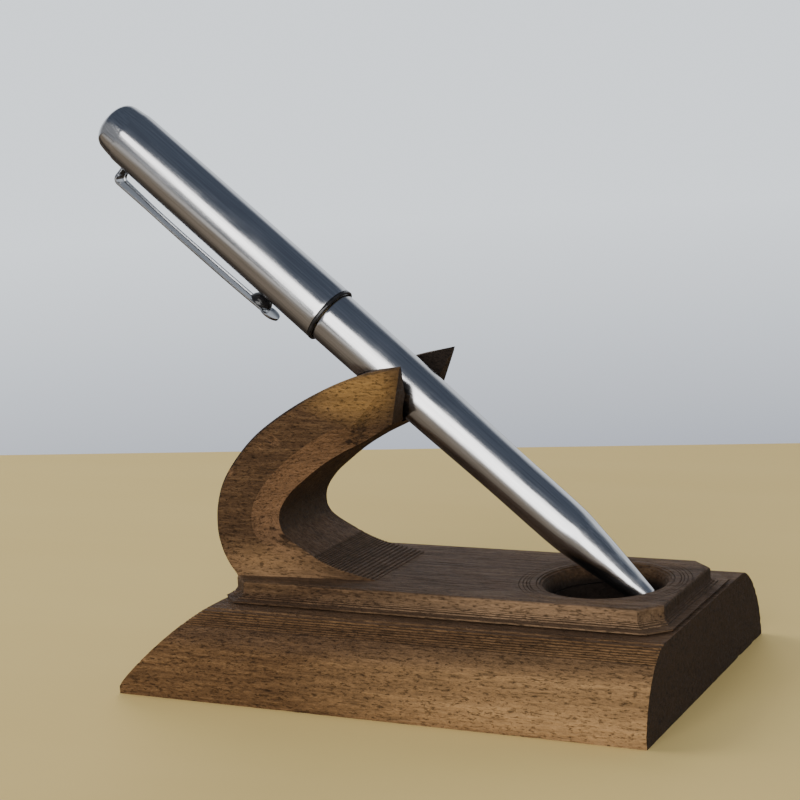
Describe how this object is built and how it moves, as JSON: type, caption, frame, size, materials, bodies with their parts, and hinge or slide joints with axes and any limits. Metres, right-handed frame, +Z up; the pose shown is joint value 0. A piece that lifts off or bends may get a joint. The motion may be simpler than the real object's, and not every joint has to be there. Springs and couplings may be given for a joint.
{
  "type": "desk pen stand with pen",
  "caption": "Moulded walnut desk stand with a forked C-shaped arm and a round hollow, holding a slim steel twist pen at a slant.",
  "frame": {"origin": "middle of the plinth's underside, on the surface it stands on", "axes": "+Z up; +X along the plinth towards the hollow, so the pen's cap overhangs at -X; -Y is the front"},
  "size_m": [0.1101, 0.06, 0.0999],
  "materials": {
    "walnut_base": "oiled, worked with a fine moulding cutter",
    "walnut_top": "oiled, end grain nearly black",
    "steel": "satin stainless steel",
    "steel_clip": "bright stainless spring steel",
    "black": "black plastic",
    "black_rubber": "black rubber",
    "brass": "turned brass",
    "zinc": "zinc-plated steel",
    "ink": "blue ballpoint ink"
  },
  "bodies": {
    "stand": {"plinth": "walnut_base", "cradle": "walnut_top", "stand_screw_front": "zinc", "stand_screw_rear": "zinc"},
    "pen": {"pen_barrel": "steel", "connector": "brass", "friction_ring": "black_rubber", "cam_tube": "brass", "return_spring": "steel"},
    "cap": {"cap_shell": "steel", "cap_ring": "black", "cap_plug": "black", "drive_sleeve": "zinc"},
    "clip": {"clip": "steel_clip", "clip_ball": "black"},
    "plunger": {"plunger": "brass", "plunger_pin": "steel"},
    "refill": {"refill_tube": "zinc", "refill_point": "brass", "refill_plug": "black", "writing_ball": "steel", "ink": "ink"}
  },
  "joints": [
    {"name": "pen_lift", "type": "slide", "parent": "stand", "child": "pen", "axis": [0, 0, 1], "range_m": [0, 0.06]},
    {"name": "cap_twist", "type": "hinge", "parent": "pen", "child": "cap", "pos_m": [-0.03377, 0, 0.07512], "axis": [-0.7647, 0, 0.6444], "range_deg": [0, 180]},
    {"name": "clip_flex", "type": "hinge", "parent": "cap", "child": "clip", "pos_m": [-0.0579, 0, 0.08885], "axis": [0, 1, 0], "range_deg": [0, 3.5], "stiffness_Nm_per_rad": 2},
    {"name": "plunger_slide", "type": "slide", "parent": "cap", "child": "plunger", "axis": [-0.7647, 0, 0.6444], "range_m": [0, 0.005]},
    {"name": "refill_slide", "type": "slide", "parent": "pen", "child": "refill", "axis": [-0.7647, 0, 0.6444], "range_m": [0, 0.005], "deforming": ["return_spring"]}
  ],
  "couplings": [
    {"joint": "cap_twist", "follows": "refill_slide", "rad_per_m": 628.3},
    {"joint": "plunger_slide", "follows": "refill_slide", "ratio": 1}
  ]
}
